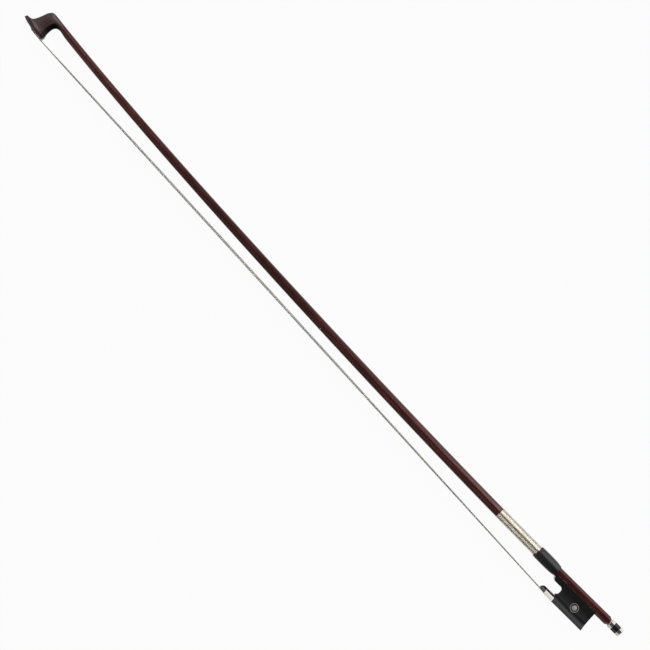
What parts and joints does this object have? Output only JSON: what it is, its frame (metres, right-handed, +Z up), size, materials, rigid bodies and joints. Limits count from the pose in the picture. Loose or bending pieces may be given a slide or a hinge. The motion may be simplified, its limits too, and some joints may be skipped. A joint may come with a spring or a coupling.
{
  "type": "violin bow",
  "caption": "Full-size violin bow: cambered round stick with octagonal handle, carved head, ribbon of white hair, ebony frog with pearl eye and a screw with octagonal button.",
  "frame": {"origin": "on the ground under the middle of the bow, which lies on its side", "axes": "+X along the screw towards the button, +Y away from the hair, +Z up through the bow's width"},
  "size_m": [0.7466, 0.0616, 0.0134],
  "materials": {
    "brazilwood": "dark red-brown, thin gloss varnish",
    "ebony": "polished black ebony",
    "maple": "plain cut maple",
    "stained_wood": "brown stained, plain cut",
    "nickel_silver": "polished nickel silver",
    "steel": "turned steel",
    "brass": "plain brass",
    "pearl": "mother-of-pearl, polished",
    "horsehair": "white horsehair",
    "leather": "black, smooth",
    "thread": "red binding thread",
    "black_plate": "black head plate"
  },
  "bodies": {
    "stick": {"stick": "brazilwood", "head_plate": "black_plate", "head_plate_liner": "ebony", "head_plug": "maple", "hair_ribbon": "horsehair", "head_knot_thread": "thread", "winding_core": "nickel_silver", "winding_wire": "nickel_silver", "thumb_grip": "leather"},
    "frog": {"frog": "ebony", "eye_ring_left": "nickel_silver", "eye_ring_right": "nickel_silver", "eye_pearl_left": "pearl", "eye_pearl_right": "pearl", "pearl_slide": "pearl", "slide_backing": "ebony", "frog_plug": "maple", "frog_knot_thread": "thread", "ferrule": "nickel_silver", "ferrule_wedge": "stained_wood", "underslide": "nickel_silver", "underslide_pin_front": "nickel_silver", "underslide_pin_rear": "nickel_silver", "eyelet": "brass"},
    "screw": {"screw": "steel", "button_collar": "nickel_silver", "button_barrel": "ebony", "button_cap": "nickel_silver"}
  },
  "joints": [
    {"name": "screw_turn", "type": "hinge", "parent": "stick", "child": "screw", "pos_m": [0.35888, -0.00822, 0.0067], "axis": [-1, 0, 0], "range_deg": [0, 2880]},
    {"name": "frog_slide", "type": "slide", "parent": "stick", "child": "frog", "axis": [1, 0, 0], "range_m": [0, 0.0056], "deforming": ["hair_ribbon"]}
  ],
  "couplings": [
    {"joint": "screw_turn", "follows": "frog_slide", "rad_per_m": 8976}
  ]
}
